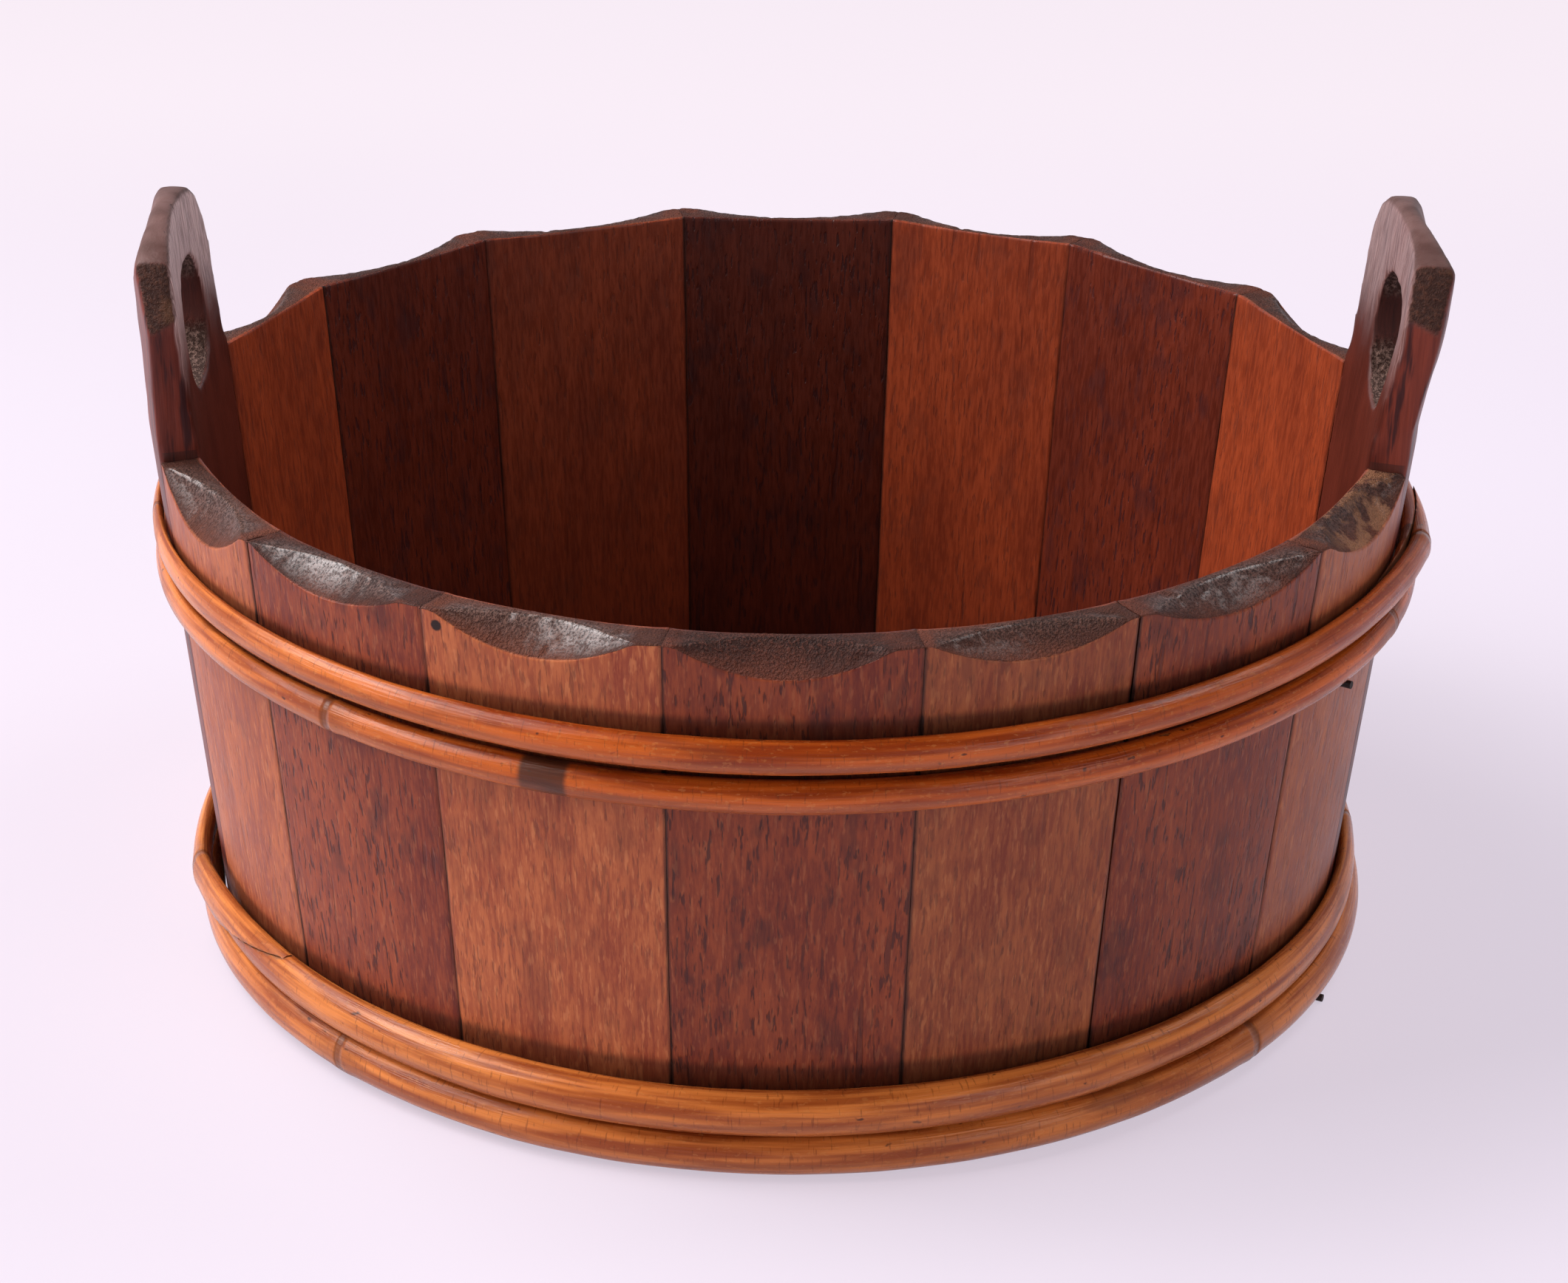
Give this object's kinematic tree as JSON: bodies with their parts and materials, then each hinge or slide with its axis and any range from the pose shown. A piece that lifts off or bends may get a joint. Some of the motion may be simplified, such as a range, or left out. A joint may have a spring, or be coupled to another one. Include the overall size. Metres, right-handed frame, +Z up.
{
  "type": "coopered wooden tub with ear staves",
  "caption": "Round coopered wooden tub, wider at the rim, with scooped stave tops, two tall ear staves pierced by hand holes and round cane hoops.",
  "frame": {"origin": "centre of the ring of stave ends on which the tub stands", "axes": "+Z up; the two ear staves stand at the two ends of X, each about 4 degrees round towards -Y, which is the front"},
  "size_m": [0.4155, 0.4148, 0.237],
  "materials": {
    "dark_wood": "reddish brown hardwood under worn varnish",
    "light_wood": "orange brown wood under worn varnish",
    "floor_wood": "brown softwood boards",
    "cane": "glossy golden rattan cane",
    "bamboo": "plain split bamboo",
    "peg": "dark hardwood peg"
  },
  "bodies": {
    "root": {"ear_stave_right": "dark_wood", "stave_back_1": "light_wood", "stave_back_2": "dark_wood", "stave_back_3": "light_wood", "stave_back_4": "dark_wood", "stave_back_5": "light_wood", "stave_back_6": "dark_wood", "stave_back_7": "light_wood", "ear_stave_left": "dark_wood", "stave_front_1": "light_wood", "stave_front_2": "dark_wood", "stave_front_3": "light_wood", "stave_front_4": "dark_wood", "stave_front_5": "light_wood", "stave_front_6": "dark_wood", "stave_front_7": "light_wood", "floor_board_1": "floor_wood", "floor_board_2": "floor_wood", "floor_board_3": "floor_wood", "floor_board_4": "floor_wood", "stave_pins": "bamboo", "floor_pins": "bamboo", "hoop_lower_bottom": "cane", "hoop_lower_top": "cane", "hoop_upper_bottom": "cane", "hoop_upper_top": "cane", "hoop_pegs": "peg"}
  },
  "joints": []
}
